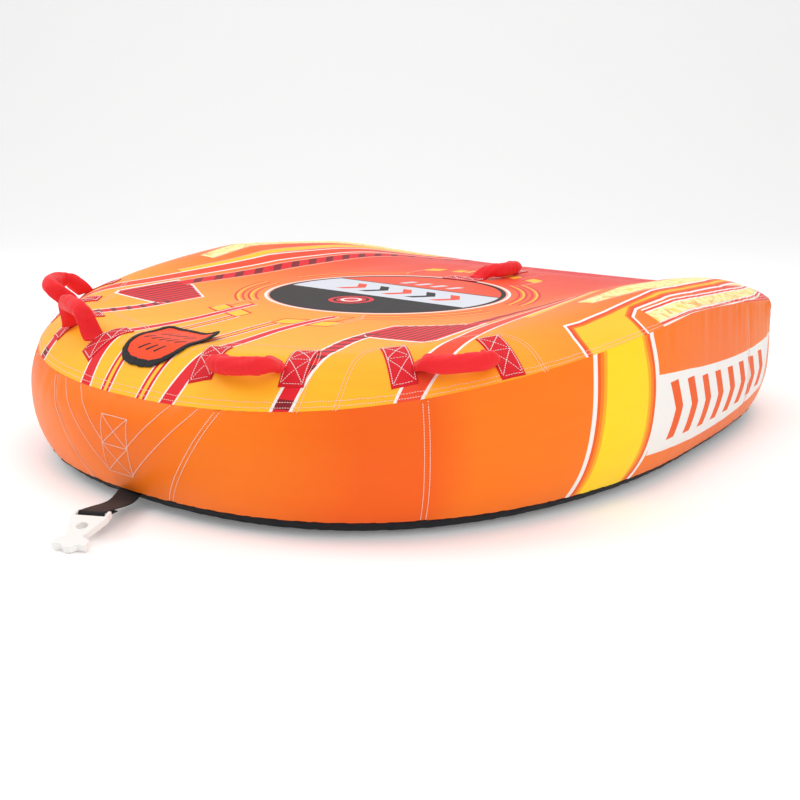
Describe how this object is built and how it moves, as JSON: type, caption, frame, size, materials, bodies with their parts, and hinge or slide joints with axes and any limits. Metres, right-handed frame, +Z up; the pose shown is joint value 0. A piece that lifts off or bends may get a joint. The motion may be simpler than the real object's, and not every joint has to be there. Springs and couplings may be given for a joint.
{
  "type": "towable tube",
  "caption": "Inflatable deck tube with a fabric cover, padded grab handles, valve flap, tow strap and quick-connect hook.",
  "frame": {"origin": "on the floor at the tube's plan centre", "axes": "+Z up, -Y towards the tow hook, +X to the rider's left when facing the hook"},
  "size_m": [1.5594, 2.0661, 0.4057],
  "materials": {
    "deck_fabric": "woven nylon, printed, satin",
    "wall_fabric": "woven nylon, satin",
    "base_fabric": "heavy woven nylon, matt",
    "pvc_film": "smooth vinyl film",
    "valve_plastic": "moulded",
    "hook_loop": "hook and loop tape",
    "black_webbing": "woven nylon webbing",
    "zipper": "moulded coil zipper",
    "red_webbing": "woven nylon webbing, white stitching",
    "foam": "closed-cell foam",
    "red_sleeve": "padded nylon sleeve",
    "flap_fabric": "printed woven nylon",
    "black_binding": "edge binding",
    "white_plastic": "moulded, satin"
  },
  "bodies": {
    "tube": {"top_cover": "deck_fabric", "side_panel_front": "wall_fabric", "side_panel_front_right": "wall_fabric", "side_panel_right": "wall_fabric", "side_panel_rear_right": "wall_fabric", "side_panel_rear": "wall_fabric", "side_panel_rear_left": "wall_fabric", "side_panel_left": "wall_fabric", "side_panel_front_left": "wall_fabric", "bottom_cover": "base_fabric", "bladder": "pvc_film", "bladder_baffles": "pvc_film", "valve_base": "valve_plastic", "flap_loop_tape": "hook_loop", "tow_harness": "black_webbing", "zipper_tape": "zipper", "zipper_teeth": "zipper", "handle_right_inner_patches": "red_webbing", "handle_right_outer_patches": "red_webbing", "handle_left_inner_patches": "red_webbing", "handle_left_outer_patches": "red_webbing", "handle_rear_patches": "red_webbing"},
    "handle_right_inner": {"handle_right_inner_webbing": "red_webbing", "handle_right_inner_foam": "foam", "handle_right_inner_sleeve": "red_sleeve"},
    "handle_right_outer": {"handle_right_outer_webbing": "red_webbing", "handle_right_outer_foam": "foam", "handle_right_outer_sleeve": "red_sleeve"},
    "handle_left_inner": {"handle_left_inner_webbing": "red_webbing", "handle_left_inner_foam": "foam", "handle_left_inner_sleeve": "red_sleeve"},
    "handle_left_outer": {"handle_left_outer_webbing": "red_webbing", "handle_left_outer_foam": "foam", "handle_left_outer_sleeve": "red_sleeve"},
    "handle_rear": {"handle_rear_webbing": "red_webbing", "handle_rear_foam": "foam", "handle_rear_sleeve": "red_sleeve"},
    "flap": {"valve_flap": "flap_fabric", "flap_binding": "black_binding", "flap_hook_tape": "hook_loop"},
    "valve_cap": {"valve_cap": "valve_plastic"},
    "tow_strap": {"tow_strap": "black_webbing"},
    "tow_hook": {"tow_hook": "white_plastic"},
    "zipper_slider": {"zipper_slider": "zipper"}
  },
  "joints": [
    {"name": "handle_right_inner_swing", "type": "hinge", "parent": "tube", "child": "handle_right_inner", "pos_m": [0.2622, -0.8132, 0.3366], "axis": [-0.9519, -0.3041, -0.0365], "range_deg": [0, 120]},
    {"name": "handle_right_outer_swing", "type": "hinge", "parent": "tube", "child": "handle_right_outer", "pos_m": [0.5823, -0.5926, 0.3492], "axis": [-0.623, -0.7817, -0.0278], "range_deg": [0, 120]},
    {"name": "handle_left_inner_swing", "type": "hinge", "parent": "tube", "child": "handle_left_inner", "pos_m": [-0.2622, -0.8132, 0.3366], "axis": [-0.9519, 0.3041, 0.0365], "range_deg": [-70, 55]},
    {"name": "handle_left_outer_swing", "type": "hinge", "parent": "tube", "child": "handle_left_outer", "pos_m": [-0.5823, -0.5926, 0.3492], "axis": [-0.623, 0.7817, 0.0278], "range_deg": [-30, 95]},
    {"name": "handle_rear_swing", "type": "hinge", "parent": "tube", "child": "handle_rear", "pos_m": [0.0256, 0.308, 0.368], "axis": [0, -1, 0.0002], "range_deg": [0, 120]},
    {"name": "flap_lift", "type": "hinge", "parent": "tube", "child": "flap", "pos_m": [0, -0.878, 0.283], "axis": [1, 0, 0], "range_deg": [0, 105]},
    {"name": "valve_cap_turn", "type": "hinge", "parent": "tube", "child": "valve_cap", "pos_m": [0, -0.8, 0.29], "axis": [0, 0, 1], "range_deg": [0, 360]},
    {"name": "tow_strap_lift", "type": "hinge", "parent": "tube", "child": "tow_strap", "pos_m": [0, -0.922, 0.024], "axis": [-0.8829, -0.4695, 0], "range_deg": [0, 40]},
    {"name": "tow_hook_pivot", "type": "hinge", "parent": "tow_strap", "child": "tow_hook", "pos_m": [0.07042, -1.05444, 0.0375], "axis": [-0.8829, -0.4695, 0], "range_deg": [0, 80]},
    {"name": "zipper_slide", "type": "slide", "parent": "tube", "child": "zipper_slider", "axis": [1, 0, 0], "range_m": [0, 0.46]}
  ]
}
